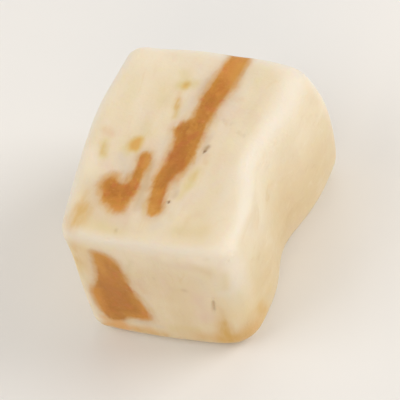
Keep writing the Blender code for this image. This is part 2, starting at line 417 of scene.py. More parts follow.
# Caramel so thin that the light comes through it.
GLOW = [
    ((-8.1, -14.4, 1.8), (-6.3, -14.5, 1.9), (0.50, 0.95), 0.8, 1.00),
    ((-6.3, -14.5, 1.9), (-4.4, -14.6, 1.7), (0.80, 0.30), 0.8, 0.92),
    ((-7.9, -14.4, 3.2), (-6.2, -14.5, 2.8), (0.45, 0.60), 0.8, 0.80),
    ((-7.4, -14.4, 1.6), (-6.9, -14.3, 0.6), (0.60, 0.40), 0.9, 0.60),
    ((-4.2, -14.6, 1.6), (-2.6, -14.6, 2.0), (0.26, 0.42), 0.9, 0.52),
    ((-1.9, -14.6, 1.5), (-0.6, -14.6, 1.3), (0.25, 0.15), 0.7, 0.34),
    ((3.4, -14.5, 1.9), (6.4, -14.4, 2.2), (0.50, 0.70), 1.2, 0.34),
    ((6.7, -14.4, 6.2), (6.5, -14.4, 4.6), (0.30, 0.45), 1.0, 0.32),
    ((6.8, -14.4, 2.1), (9.4, -13.3, 2.2), (1.25, 1.50), 1.3, 0.66),
    ((9.4, -13.3, 2.2), (10.2, -11.4, 2.5), (1.40, 1.00), 1.3, 0.46),
    ((10.4, -11.1, 4.8), (10.3, -11.2, 2.8), (0.50, 0.90), 1.2, 0.60),
    ((10.0, -12.0, 5.2), (9.6, -12.8, 4.4), (0.60, 0.60), 1.4, 0.30),
    ((5.0, 15.0, 2.6), (8.4, 14.6, 2.4), (0.70, 0.90), 1.4, 0.45),
    ((-6.8, 14.8, 2.0), (-5.0, 15.0, 2.2), (0.50, 0.50), 1.2, 0.35),
]
# Richer, yellower cream.
BUTTER = [
    ((-9.6, -13.8, 15.2), (-9.9, -13.7, 11.4), (0.45, 0.50), 1.0, 0.85),
    ((-9.9, -13.7, 11.4), (-9.8, -13.8, 8.0), (0.50, 0.35), 1.1, 0.70),
    ((-7.6, -14.1, 16.5), (-8.2, -14.2, 11.8), (0.45, 0.45), 1.0, 0.42),
    ((8.8, -13.5, 14.6), (8.7, -13.6, 12.2), (0.45, 0.45), 1.0, 0.22),
    ((9.6, -12.8, 9.4), (9.5, -12.9, 5.6), (0.80, 0.90), 1.8, 0.14),
    ((8.1, -13.9, 9.0), (7.9, -13.9, 6.4), (0.50, 0.60), 1.2, 0.30),
    ((-10.8, 10.6, 9.0), (-10.6, 11.6, 4.0), (0.80, 0.80), 1.8, 0.35),
    ((9.0, 14.2, 8.0), (8.8, 14.4, 4.0), (0.60, 0.70), 1.6, 0.30),
]
# Cream with a pink cast, mostly beside the caramel.
PINK = [
    ((-7.9, -3.5, 18.3), (-6.8, -4.6, 18.3), (0.45, 0.45), 0.8, 0.85),
    ((-3.7, 0.3, 18.3), (-2.9, -0.2, 18.3), (0.35, 0.30), 0.7, 0.70),
    ((-1.7, -1.8, 18.4), (-1.8, -3.0, 18.3), (0.30, 0.25), 0.6, 0.75),
    ((-1.7, 3.6, 18.3), (-2.3, 2.6, 18.3), (0.30, 0.25), 0.6, 0.65),
    ((3.2, 6.6, 18.3), (3.0, 4.8, 18.3), (0.35, 0.30), 0.7, 0.60),
    ((3.6, 5.4, 18.3), (4.6, 3.0, 18.3), (0.45, 0.40), 1.1, 0.40),
    ((0.2, 12.6, 18.3), (0.6, 11.4, 18.3), (0.60, 0.55), 1.1, 0.40),
    ((-0.2, 9.4, 18.3), (-0.9, 7.6, 18.3), (0.35, 0.35), 0.8, 0.45),
    ((-1.6, 11.6, 18.3), (-3.0, 12.2, 18.3), (0.60, 0.60), 1.6, 0.35),
    ((1.4, -5.4, 18.2), (1.5, -6.8, 18.2), (0.25, 0.25), 0.6, 0.55),
    ((-2.4, -9.0, 18.1), (-4.0, -11.0, 18.1), (0.40, 0.50), 1.0, 0.45),
    ((-5.9, -11.0, 18.1), (-8.0, -9.4, 18.2), (0.30, 0.35), 0.9, 0.40),
    ((3.2, -7.4, 18.2), (4.4, -6.0, 18.2), (0.50, 0.50), 1.2, 0.35),
    ((6.4, -2.0, 18.2), (5.6, 0.6, 18.2), (0.60, 0.50), 1.5, 0.30),
    ((-8.4, 0.8, 18.3), (-7.8, 3.4, 18.3), (0.40, 0.40), 1.2, 0.30),
    ((-7.7, -14.2, 14.4), (-8.0, -14.3, 11.6), (0.40, 0.35), 0.8, 0.70),
    ((3.0, -14.3, 15.8), (5.0, -14.2, 15.6), (0.35, 0.35), 0.9, 0.55),
    ((4.8, -14.3, 9.6), (5.2, -14.4, 6.4), (0.75, 0.85), 1.1, 0.75),
    ((-1.5, -14.4, 11.4), (-1.2, -14.4, 8.6), (0.45, 0.45), 1.0, 0.50),
    ((1.2, -14.4, 13.2), (1.8, -14.4, 9.8), (0.60, 0.60), 1.6, 0.40),
    ((9.3, -13.2, 12.6), (9.5, -13.0, 11.0), (0.30, 0.30), 0.9, 0.35),
    ((3.6, 15.0, 14.6), (4.0, 15.0, 11.6), (0.35, 0.35), 0.9, 0.60),
    ((-7.0, 14.8, 10.8), (-7.2, 14.8, 8.2), (0.30, 0.30), 0.8, 0.60),
    ((0.8, 15.0, 7.4), (0.2, 15.0, 4.4), (0.50, 0.60), 1.4, 0.45),
]
# Paler, greyer nougat beside the caramel.
PALE = [
    ((-6.6, -2.4, 18.3), (-5.2, -4.3, 18.3), (0.50, 0.75), 0.9, 1.00),
    ((-2.4, 0.4, 18.3), (-2.1, -1.4, 18.4), (0.35, 0.30), 0.7, 0.80),
    ((-2.2, -3.6, 18.4), (-2.3, -5.4, 18.3), (0.20, 0.20), 0.5, 0.40),
    ((-2.6, -6.0, 18.2), (-2.3, -8.2, 18.1), (0.22, 0.25), 0.5, 0.40),
    ((0.1, 10.6, 18.3), (-0.6, 8.4, 18.2), (0.45, 0.50), 0.8, 0.60),
    ((-0.9, 7.0, 18.2), (-1.8, 4.9, 18.2), (0.60, 0.60), 0.8, 0.85),
    ((4.2, 8.6, 18.3), (3.7, 7.0, 18.3), (0.25, 0.20), 0.6, 0.55),
    ((2.9, 2.2, 18.3), (2.6, -1.4, 18.2), (0.25, 0.30), 0.6, 0.70),
    ((1.2, -5.6, 18.2), (1.3, -6.9, 18.2), (0.15, 0.20), 0.5, 0.55),
    ((1.0, -10.6, 18.2), (0.3, -11.2, 18.2), (0.35, 0.35), 0.7, 0.80),
    ((-6.0, 4.6, 18.3), (-5.4, 1.8, 18.3), (0.5, 0.3), 1.2, 0.35),
    ((-4.0, -14.5, 3.2), (-0.9, -14.5, 2.9), (0.26, 0.26), 0.45, 0.78),
    ((-2.0, -14.2, 15.4), (-2.7, -14.4, 13.6), (0.30, 0.25), 0.7, 0.60),
    ((5.8, -14.2, 13.4), (6.2, -14.3, 11.4), (0.40, 0.40), 1.0, 0.45),
    ((3.9, 15.0, 16.0), (4.0, 15.0, 13.4), (0.25, 0.25), 0.6, 0.70),
    ((0.4, 15.0, 16.0), (0.6, 15.0, 13.8), (0.35, 0.30), 0.7, 0.70),
    ((-4.6, 15.0, 11.6), (-4.4, 15.0, 9.0), (0.30, 0.30), 0.8, 0.60),
]
# Deeper, faintly brownish cream. The bands across the front of the top, on the right face and on one side of two
# opened bubbles are painted shade.
TAN_AND_SHADE = [
    ((4.2, -10.2, 18.4), (3.5, -11.4, 18.3), (0.45, 0.40), 1.0, 0.50),
    ((5.6, -8.6, 18.4), (4.4, -9.6, 18.3), (0.35, 0.35), 0.9, 0.55),
    ((-8.4, -11.8, 18.0), (-2.4, -12.2, 18.0), (1.2, 0.8), 2.4, 0.55),
    ((-2.4, -12.2, 18.0), (7.2, -11.8, 18.0), (0.8, 1.2), 2.6, 0.52),
    ((7.4, -8.8, 18.3), (6.8, -11.2, 18.2), (0.5, 0.6), 1.8, 0.35),
    ((-2.4, -3.2, 18.4), (-2.6, -8.6, 18.2), (0.28, 0.30), 0.6, 0.60),
    ((3.95, 4.5, 18.3), (4.3, 4.0, 18.3), (0.25, 0.22), 0.35, 0.55),
    ((5.9, 3.2, 18.3), (6.3, 2.8, 18.3), (0.25, 0.22), 0.35, 0.55),
    ((-4.6, -14.5, 1.6), (-1.8, -14.6, 1.4), (0.5, 0.5), 1.1, 0.90),
    ((-8.4, -11.6, 18.1), (-5.8, -12.1, 18.0), (0.8, 0.6), 1.4, 0.50),
    ((3.4, -11.7, 18.2), (6.8, -11.3, 18.1), (0.7, 0.7), 1.6, 0.50),
    ((10.6, -8.4, 9.6), (10.4, -10.0, 5.0), (1.2, 1.4), 3.0, 0.66),
    ((9.6, 0.6, 9.6), (9.8, -1.6, 5.0), (1.6, 1.8), 4.0, 0.40),
    ((-1.8, -14.6, 1.6), (3.0, -14.6, 1.6), (0.4, 0.5), 1.6, 0.70),
    ((3.0, -14.6, 1.9), (7.6, -14.0, 1.9), (0.6, 1.0), 1.8, 0.85),
    ((8.6, -13.6, 7.0), (8.8, -13.4, 3.6), (0.5, 0.9), 1.8, 0.40),
    ((-1.0, -14.4, 13.6), (-1.4, -14.4, 12.0), (0.5, 0.5), 1.2, 0.30),
    ((5.6, -14.1, 15.8), (7.2, -14.1, 14.8), (0.45, 0.55), 1.1, 0.70),
    ((3.7, -14.2, 10.9), (3.2, -14.2, 10.6), (0.25, 0.20), 0.6, 0.50),
    ((1.6, -14.4, 6.0), (2.8, -14.4, 2.8), (0.6, 0.9), 1.8, 0.40),
    ((7.1, -14.2, 9.2), (7.6, -14.2, 6.4), (0.35, 0.50), 1.2, 0.60),
    ((-8.6, -13.9, 16.8), (-7.6, -14.2, 16.4), (0.35, 0.30), 0.8, 0.45),
    ((-3.0, -14.3, 12.8), (-3.1, -14.3, 11.4), (0.12, 0.12), 0.5, 0.60),
    ((10.6, 2.0, 4.0), (11.2, 8.0, 5.0), (1.2, 1.6), 4.0, 0.30),
    ((-11.6, -4.0, 4.0), (-12.0, 5.0, 3.0), (1.2, 1.2), 4.0, 0.30),
    ((-3.0, 15.0, 2.6), (4.0, 15.0, 2.2), (0.6, 0.8), 2.2, 0.50),
]
# Whiter cream in clouds on the top, back and underside. The strands along the top edges, down the front right corner
# and low on the front left edge are painted highlights, and the one at the back left of the top is a painted sheen.
WHITER_AND_HIGHLIGHTS = [
    ((-8.0, 12.4, 18.2), (-4.6, 11.8, 18.3), (1.4, 1.0), 2.6, 0.50),
    ((7.6, 12.0, 18.2), (9.6, 10.4, 18.2), (0.5, 1.0), 2.4, 0.28),
    ((-6.6, 7.4, 18.3), (-7.4, 4.8, 18.3), (1.0, 0.8), 2.2, 0.38),
    ((4.6, 2.8, 18.3), (6.4, 1.6, 18.3), (0.4, 0.6), 2.0, 0.30),
    ((-9.6, -3.0, 17.9), (-9.6, -6.4, 17.9), (0.5, 0.4), 1.4, 0.50),
    ((2.4, -14.0, 16.8), (6.6, -14.0, 16.9), (0.4, 0.5), 1.1, 0.80),
    ((6.6, -14.0, 16.9), (9.0, -13.6, 17.2), (0.6, 0.9), 1.2, 0.85),
    ((-9.8, -13.2, 17.2), (-10.6, -11.6, 16.4), (0.4, 0.5), 1.3, 0.38),
    ((-10.9, 12.6, 17.0), (-11.8, 3.0, 16.8), (0.7, 0.7), 1.5, 0.66),
    ((-11.8, 3.0, 16.8), (-11.6, -5.0, 16.8), (0.7, 0.5), 1.5, 0.36),
    ((-9.7, -13.6, 6.2), (-9.5, -13.7, 2.6), (0.45, 0.45), 1.1, 0.62),
    ((9.2, -13.4, 17.4), (9.6, -13.0, 14.6), (1.3, 1.1), 1.9, 1.00),
    ((9.6, -13.0, 14.6), (9.6, -12.9, 10.0), (1.0, 0.7), 2.0, 0.52),
    ((8.6, -10.6, 17.9), (9.2, -7.0, 18.0), (0.9, 0.8), 2.2, 0.52),
    ((8.4, -5.0, 18.0), (7.6, -1.6, 18.0), (0.7, 0.7), 1.8, 0.50),
    ((7.7, 0.8, 17.9), (8.6, 4.6, 18.0), (0.6, 0.7), 1.8, 0.44),
    ((9.2, 2.2, 16.0), (9.2, -3.4, 15.8), (0.9, 0.9), 2.2, 0.50),
    ((-5.0, 14.9, 14.8), (-1.0, 15.0, 12.0), (1.0, 1.2), 2.6, 0.50),
    ((7.6, 14.8, 13.4), (6.2, 15.0, 9.8), (0.8, 0.8), 2.2, 0.45),
    ((-4.0, -7.0, 0.0), (3.6, -9.4, 0.0), (1.0, 1.6), 2.8, 0.45),
    ((-6.0, 8.0, 0.0), (-2.0, 11.0, 0.0), (1.2, 1.0), 2.6, 0.50),
]
# Where the caramel is thin and golden, and where it is redder or darker.
THIN = [
    ((2.9, 14.6, 17.4), (2.6, 11.0, 18.3), (0.9, 0.5), 1.5, 0.80),
    ((3.2, 12.4, 18.3), (2.9, 9.2, 18.3), (0.35, 0.20), 0.6, 0.80),
    ((2.2, 8.0, 18.2), (1.9, 5.6, 18.2), (0.10, 0.10), 0.6, 0.30),
    ((-0.3, -9.7, 18.1), (-0.5, -8.6, 18.1), (0.40, 0.35), 0.7, 0.85),
    ((-1.0, -8.6, 18.1), (-1.2, -6.4, 18.1), (0.15, 0.12), 0.6, 0.75),
    ((-0.6, -6.6, 18.1), (-0.4, -7.8, 18.1), (0.25, 0.30), 0.7, 0.36),
    ((-0.9, -4.6, 18.3), (-1.2, -5.6, 18.3), (0.20, 0.15), 0.6, 0.20),
    ((-0.4, 4.1, 18.3), (0.2, 4.0, 18.3), (0.15, 0.15), 0.5, 0.60),
    ((0.1, 2.4, 18.3), (0.5, 2.15, 18.3), (0.12, 0.12), 0.3, 0.60),
    ((1.35, 5.5, 18.3), (1.45, 5.35, 18.3), (0.12, 0.12), 0.24, 0.75),
    ((-3.9, -5.9, 18.3), (-3.6, -5.2, 18.3), (0.18, 0.18), 0.5, 0.42),
    ((-3.6, -1.2, 18.4), (-3.4, -3.4, 18.4), (0.30, 0.25), 0.7, 0.56),
    ((-3.3, -2.7, 18.4), (-3.35, -3.3, 18.4), (0.22, 0.22), 0.5, 0.45),
    ((-6.6, -8.7, 18.2), (-4.6, -9.7, 18.2), (0.20, 0.30), 0.6, 0.75),
    ((-4.6, -9.7, 18.2), (-3.5, -9.0, 18.2), (0.30, 0.20), 0.6, 0.75),
    ((-7.9, -6.6, 18.2), (-7.3, -8.2, 18.2), (0.10, 0.15), 0.6, 0.40),
    ((-8.3, -14.4, 9.0), (-7.9, -14.5, 5.4), (0.45, 0.30), 0.9, 0.90),
    ((-6.5, -14.2, 16.0), (-6.2, -14.2, 12.0), (0.45, 0.25), 0.9, 0.75),
    ((-5.6, -14.2, 15.6), (-4.4, -14.2, 14.6), (0.30, 0.25), 0.8, 0.60),
    ((-7.2, -14.4, 4.0), (-4.4, -14.4, 4.6), (0.15, 0.20), 0.8, 0.40),
    ((-2.8, -14.4, 8.0), (-2.3, -14.4, 4.4), (0.15, 0.30), 0.6, 0.65),
    ((-5.5, -14.4, 14.0), (-5.2, -14.4, 5.0), (1.8, 2.2), 2.5, 0.30),
    ((2.2, 15.0, 8.2), (1.8, 15.0, 6.4), (0.3, 0.3), 1.0, 0.80),
    ((2.9, 15.0, 17.0), (3.1, 15.0, 13.8), (0.20, 0.15), 0.7, 0.60),
    ((-5.2, 15.0, 13.0), (-5.5, 15.0, 11.4), (0.2, 0.2), 0.8, 0.70),
]
RED = [
    ((-0.2, -1.4, 18.3), (0.9, -2.6, 18.2), (0.40, 0.35), 0.9, 0.85),
    ((0.9, -2.2, 18.3), (0.7, -3.2, 18.2), (0.20, 0.20), 0.6, 0.80),
    ((0.0, 1.6, 18.3), (-0.3, -0.4, 18.3), (0.50, 0.45), 1.1, 0.50),
    ((-0.2, -0.6, 18.4), (-0.6, -3.6, 18.2), (0.45, 0.40), 1.0, 0.60),
    ((-4.45, -6.5, 18.3), (-4.1, -7.2, 18.3), (0.28, 0.24), 0.5, 1.00),
    ((-5.2, -7.6, 18.3), (-5.8, -6.6, 18.3), (0.40, 0.30), 0.9, 0.45),
    ((1.6, 9.4, 18.3), (2.3, 8.4, 18.3), (0.30, 0.30), 0.8, 0.55),
    ((1.5, 7.2, 18.2), (1.2, 5.2, 18.2), (0.35, 0.25), 0.8, 0.35),
    ((0.2, -5.8, 18.2), (0.2, -7.2, 18.2), (0.20, 0.20), 0.6, 0.55),
    ((-0.1, -7.6, 18.2), (-0.2, -8.4, 18.2), (0.20, 0.20), 0.6, 0.40),
    ((-5.6, -14.3, 10.4), (-5.2, -14.4, 7.2), (0.60, 0.70), 1.4, 0.80),
    ((-6.4, -14.3, 7.4), (-4.6, -14.4, 5.8), (0.40, 0.40), 1.4, 0.50),
    ((2.2, 15.0, 11.0), (2.5, 15.0, 9.6), (0.35, 0.35), 0.9, 0.70),
]
# Brighter and deeper parts of the caramel.
BRIGHT = [
    ((2.9, 14.8, 17.6), (2.3, 11.4, 18.3), (0.90, 0.70), 1.2, 0.85),
    ((2.3, 11.4, 18.3), (1.6, 8.4, 18.3), (0.65, 0.45), 1.0, 0.65),
    ((1.3, 6.4, 18.3), (1.2, 4.8, 18.3), (0.25, 0.25), 0.9, 0.30),
    ((-3.6, -2.0, 18.3), (-3.7, -4.2, 18.3), (0.30, 0.25), 0.7, 0.30),
    ((-0.6, -7.4, 18.2), (-0.5, -8.4, 18.2), (0.30, 0.30), 0.7, 0.40),
    ((-6.2, -14.2, 15.4), (-5.6, -14.2, 11.0), (0.60, 0.50), 1.3, 0.55),
    ((-8.1, -14.4, 8.4), (-7.4, -14.4, 4.8), (0.55, 0.45), 1.0, 0.80),
    ((-2.9, -14.4, 6.6), (-2.6, -14.4, 4.6), (0.30, 0.40), 0.8, 0.70),
    ((2.4, 15.0, 13.4), (2.2, 15.0, 11.6), (0.30, 0.30), 0.8, 0.50),
    ((-5.2, -11.0, 0.0), (-5.0, -8.0, 0.0), (0.60, 0.60), 1.2, 0.50),
]
DEEP = [
    ((0.3, -3.2, 18.3), (-0.5, -5.0, 18.3), (0.55, 0.40), 0.9, 0.80),
    ((-0.5, -5.0, 18.3), (-0.7, -6.0, 18.3), (0.35, 0.25), 0.7, 0.55),
    ((-4.0, -4.0, 18.3), (-4.0, -4.8, 18.3), (0.22, 0.22), 0.6, 0.40),
    ((-0.4, 3.4, 18.3), (0.8, 1.8, 18.3), (0.50, 0.50), 0.9, 0.50),
    ((0.6, 1.4, 18.3), (0.2, -0.6, 18.3), (0.35, 0.35), 1.0, 0.30),
    ((-5.4, -14.4, 9.0), (-5.0, -14.4, 6.0), (0.80, 0.80), 1.6, 0.30),
    ((2.4, 15.0, 10.6), (2.3, 15.0, 9.2), (0.30, 0.30), 0.9, 0.50),
]
# Duller cream in the narrow places beside the caramel.
DULL = [
    ((-2.5, -2.6, 18.3), (-2.4, -6.0, 18.3), (0.40, 0.40), 0.7, 1.00),
    ((-2.2, -3.4, 18.3), (-2.3, -4.8, 18.3), (0.16, 0.16), 0.5, 0.80),
    ((-2.5, -6.0, 18.3), (-2.3, -8.8, 18.2), (0.30, 0.30), 0.7, 0.90),
    ((-0.2, 9.8, 18.3), (-0.5, 7.4, 18.3), (0.14, 0.14), 0.5, 0.70),
    ((2.7, 1.8, 18.3), (2.5, -0.6, 18.3), (0.12, 0.12), 0.5, 0.55),
    ((1.1, -4.8, 18.3), (1.2, -6.6, 18.3), (0.22, 0.22), 0.5, 0.80),
    ((-5.6, -4.4, 18.3), (-5.0, -5.2, 18.3), (0.15, 0.15), 0.6, 0.55),
    ((-9.0, -6.6, 18.3), (-7.8, -9.8, 18.2), (0.70, 0.70), 1.4, 0.34),
    ((-7.8, -10.4, 18.2), (-3.2, -11.4, 18.1), (0.60, 0.50), 1.3, 0.34),
]
# Where the caramel's edge is hazy.
HAZE = [
    ((-6.3, -4.8, 18.3), (-5.0, -5.4, 18.3), (0.80, 0.60), 1.0, 1.00),
    ((-7.6, -5.6, 18.3), (-7.8, -7.6, 18.3), (0.40, 0.40), 1.0, 0.90),
    ((-6.8, -14.2, 16.0), (-4.4, -14.2, 15.4), (0.30, 0.30), 0.8, 0.70),
    ((-4.1, -14.3, 15.6), (-3.6, -14.3, 11.4), (0.50, 0.50), 1.0, 0.95),
    ((-6.8, -14.3, 15.4), (-7.1, -14.3, 11.6), (0.40, 0.30), 1.0, 0.50),
    ((-8.5, -14.4, 8.6), (-7.9, -14.4, 4.8), (0.30, 0.30), 1.0, 0.55),
    ((3.7, 13.0, 18.3), (3.1, 9.6, 18.3), (0.50, 0.40), 0.9, 0.85),
    ((1.3, -3.6, 18.3), (0.7, -5.4, 18.3), (0.30, 0.30), 0.8, 0.70),
    ((-1.0, 0.6, 18.3), (-1.3, -2.6, 18.3), (0.30, 0.30), 0.9, 0.60),
    ((0.7, -7.0, 18.2), (0.5, -9.4, 18.2), (0.30, 0.30), 0.8, 0.60),
    ((-0.2, 4.6, 18.3), (0.0, 7.6, 18.3), (0.20, 0.20), 0.8, 0.50),
    ((0.5, 10.6, 18.3), (0.1, 8.8, 18.3), (0.30, 0.30), 0.8, 0.85),
    ((-2.0, -14.4, 6.0), (-1.8, -14.4, 4.4), (0.30, 0.30), 0.8, 0.60),
    ((1.2, 15.0, 13.0), (1.0, 15.0, 9.0), (0.40, 0.40), 1.0, 0.90),
    ((-6.6, 15.0, 11.0), (-6.4, 15.0, 8.0), (0.30, 0.30), 1.0, 0.70),
]
# Small soft brown marks, and dark specks. The first strand darkens the crease on the front, a painted shade inside
# it.
MARKS_AND_CREASE_SHADE = [
    ((6.72, -14.2, 9.25), (6.47, -14.2, 7.75), (0.12, 0.10), 0.26, 0.80),
    ((7.6, -13.8, 17.1), (7.3, -13.8, 17.0), (0.10, 0.08), 0.40, 0.16),
    ((3.6, -14.2, 10.8), (3.4, -14.2, 10.75), (0.12, 0.10), 0.50, 0.35),
    ((3.12, 0.62, 18.3), (3.0, 0.25, 18.3), (0.17, 0.15), 0.28, 1.00),
    ((2.78, 0.40, 18.3), (2.74, 0.10, 18.3), (0.12, 0.12), 0.36, 0.40),
    ((-2.45, 8.85, 18.3), (-2.2, 8.9, 18.3), (0.08, 0.08), 0.30, 0.35),
    ((3.55, 4.7, 18.3), (3.7, 4.5, 18.3), (0.06, 0.06), 0.22, 0.35),
    ((4.7, 4.2, 18.3), (4.75, 4.0, 18.3), (0.06, 0.06), 0.22, 0.30),
    ((6.75, 2.9, 18.3), (6.8, 2.6, 18.3), (0.06, 0.06), 0.22, 0.30),
    ((-3.8, -12.2, 18.0), (-3.75, -12.45, 18.0), (0.08, 0.06), 0.25, 0.45),
    ((-7.3, 7.2, 18.3), (-7.1, 7.0, 18.3), (0.05, 0.05), 0.22, 0.25),
    ((0.2, -14.3, 12.6), (0.25, -14.3, 12.2), (0.05, 0.05), 0.22, 0.25),
    ((4.7, 15.0, 6.2), (4.5, 15.0, 5.4), (0.08, 0.06), 0.22, 0.55),
    ((-2.4, 15.0, 12.0), (-2.45, 15.0, 11.7), (0.06, 0.06), 0.22, 0.40),
]
SPECKS = [
    ((2.95, 0.02, 18.3), (2.88, -0.16, 18.3), 0.14),
    ((1.03, -7.48, 18.1), (1.06, -7.62, 18.1), 0.17),
    ((-7.9, 10.6, 18.3), (-7.85, 10.65, 18.3), 0.05),
    ((-4.4, 15.0, 3.2), (-4.35, 15.0, 3.5), 0.11),
    ((5.6, 15.0, 14.2), (5.65, 15.0, 14.3), 0.08),
]
# Bubbles that the knife opened: centre, radius, depth.
RINGS = [
    ((3.85, 4.2, 18.3), 0.30, 0.085),
    ((5.9, 3.0, 18.3), 0.28, 0.080),
    ((1.4, 5.4, 18.3), 0.20, 0.050),
    ((-8.6, 5.6, 18.3), 0.26, 0.050),
    ((1.9, -14.4, 14.6), 0.24, 0.050),
    ((-0.4, 15.0, 9.4), 0.30, 0.065),
    ((7.2, 14.9, 4.8), 0.26, 0.060),
]
# Hairline creases: points, half width, depth.
CREASES = [
    ([(6.98, -14.2, 10.1), (6.76, -14.2, 9.4), (6.53, -14.2, 8.3), (6.40, -14.2, 7.2)], 0.12, 0.13),
    ([(4.9, 14.9, 12.3), (4.4, 14.9, 11.1), (4.6, 14.9, 10.2)], 0.13, 0.10),
    ([(-12.2, 8.8, 13.4), (-12.2, 9.8, 12.6), (-12.2, 10.2, 11.4)], 0.14, 0.08),
    ([(11.6, -6.6, 9.2), (11.4, -5.0, 8.7), (11.2, -3.9, 8.9)], 0.14, 0.06),
    ([(11.6, 6.2, 6.4), (11.6, 8.0, 7.0), (11.7, 9.6, 6.8), (11.8, 10.8, 7.3)], 0.16, 0.05),
    ([(-12.2, -6.8, 6.6), (-12.3, -5.0, 6.0), (-12.3, -3.6, 6.3)], 0.16, 0.05),
    ([(-12.0, 0.6, 13.8), (-12.1, 2.6, 14.3), (-12.1, 4.0, 14.0)], 0.15, 0.05),
]


def soft_sum(p, entries):
    """Soft strands laid over each other, 0 to 1."""
    left = np.ones(len(p))
    for start, end, radii, softness, strength in entries:
        inside = inside_strand(p, (start, end), radii)
        left *= 1.0 - strength * smooth(0.5 + inside / (2.0 * softness))
    return 1.0 - left


def drawn_out(p, across, along, size, seed):
    """p moved sideways by noise that is fine across the layers and long along them."""
    moved = p.copy()
    moved[:, 0] += size * noise(p / (across, along, along), seed)
    return moved


def caramel_depth(p):
    """How far each point lies inside the caramel, in mm; below zero outside."""
    slight = drawn_out(p + wobble(p, 1.6, 11) * 0.15 + wobble(p, 0.7, 17) * 0.06, 0.8, 2.6, 0.10, 23)
    strong = drawn_out(p + wobble(p, 3.1, 31) * 0.70 + wobble(p, 1.2, 41) * 0.24 + wobble(p, 0.6, 47) * 0.08,
                       0.8, 2.6, 0.12, 29)
    depth = np.full(len(p), -3.0)
    # the outlines hold near their own face and taper off round its edges
    top = np.minimum(0.0, (p[:, 2] - HEIGHT + 2.6) * 0.9)
    front = np.minimum(0.0, (-LENGTH / 2.0 + 2.4 - p[:, 1]) * 0.9)
    for outline in (TOP_STRIPE, TOP_HOOK):
        depth = np.maximum(depth, inside_outline(slight[:, :2], rounded_outline(outline)) + top)
    depth = np.maximum(depth, inside_outline(slight[:, ::2], rounded_outline(FRONT_PATCH)) + front)
    for points, radii in STRANDS:
        depth = np.maximum(depth, inside_strand(strong, points, radii))
    return depth


def spot_depth(p):
    """The same for the small golden spots on the top."""
    slight = drawn_out(p + wobble(p, 0.9, 51) * 0.06, 0.6, 1.8, 0.04, 57)
    top = np.where(p[:, 2] > HEIGHT - 3.5, 0.0, -9.0)
    first = inside_outline(slight[:, :2], rounded_outline(TOP_SPOT))
    second = inside_outline(slight[:, :2], rounded_outline(TOP_DOT))
    return np.maximum(np.maximum(first + 0.04, second - 0.38) + top, -3.0)


def near_edge(p, reach):
    """1 on the block's edges, fading out over that reach in mm from them."""
    near = np.zeros(len(p))
    for axis in range(3):
        first, second = [i for i in range(3) if i != axis]
        away = np.maximum((1.0 - np.abs(p[:, first])) * HALF[first],
                          (1.0 - np.abs(p[:, second])) * HALF[second])
        near = np.maximum(near, np.exp(-(away / reach) ** 2))
    return near


def opened_bubble(points, centre, radius, depth):
    """A shallow dish with a faint rim, as height in mm."""
    near = np.linalg.norm(points - centre, axis=1) / radius
    return -depth * (1.0 - smooth((near - 0.55) / 0.55)) + 0.22 * depth * np.exp(-((near - 1.25) / 0.22) ** 2)


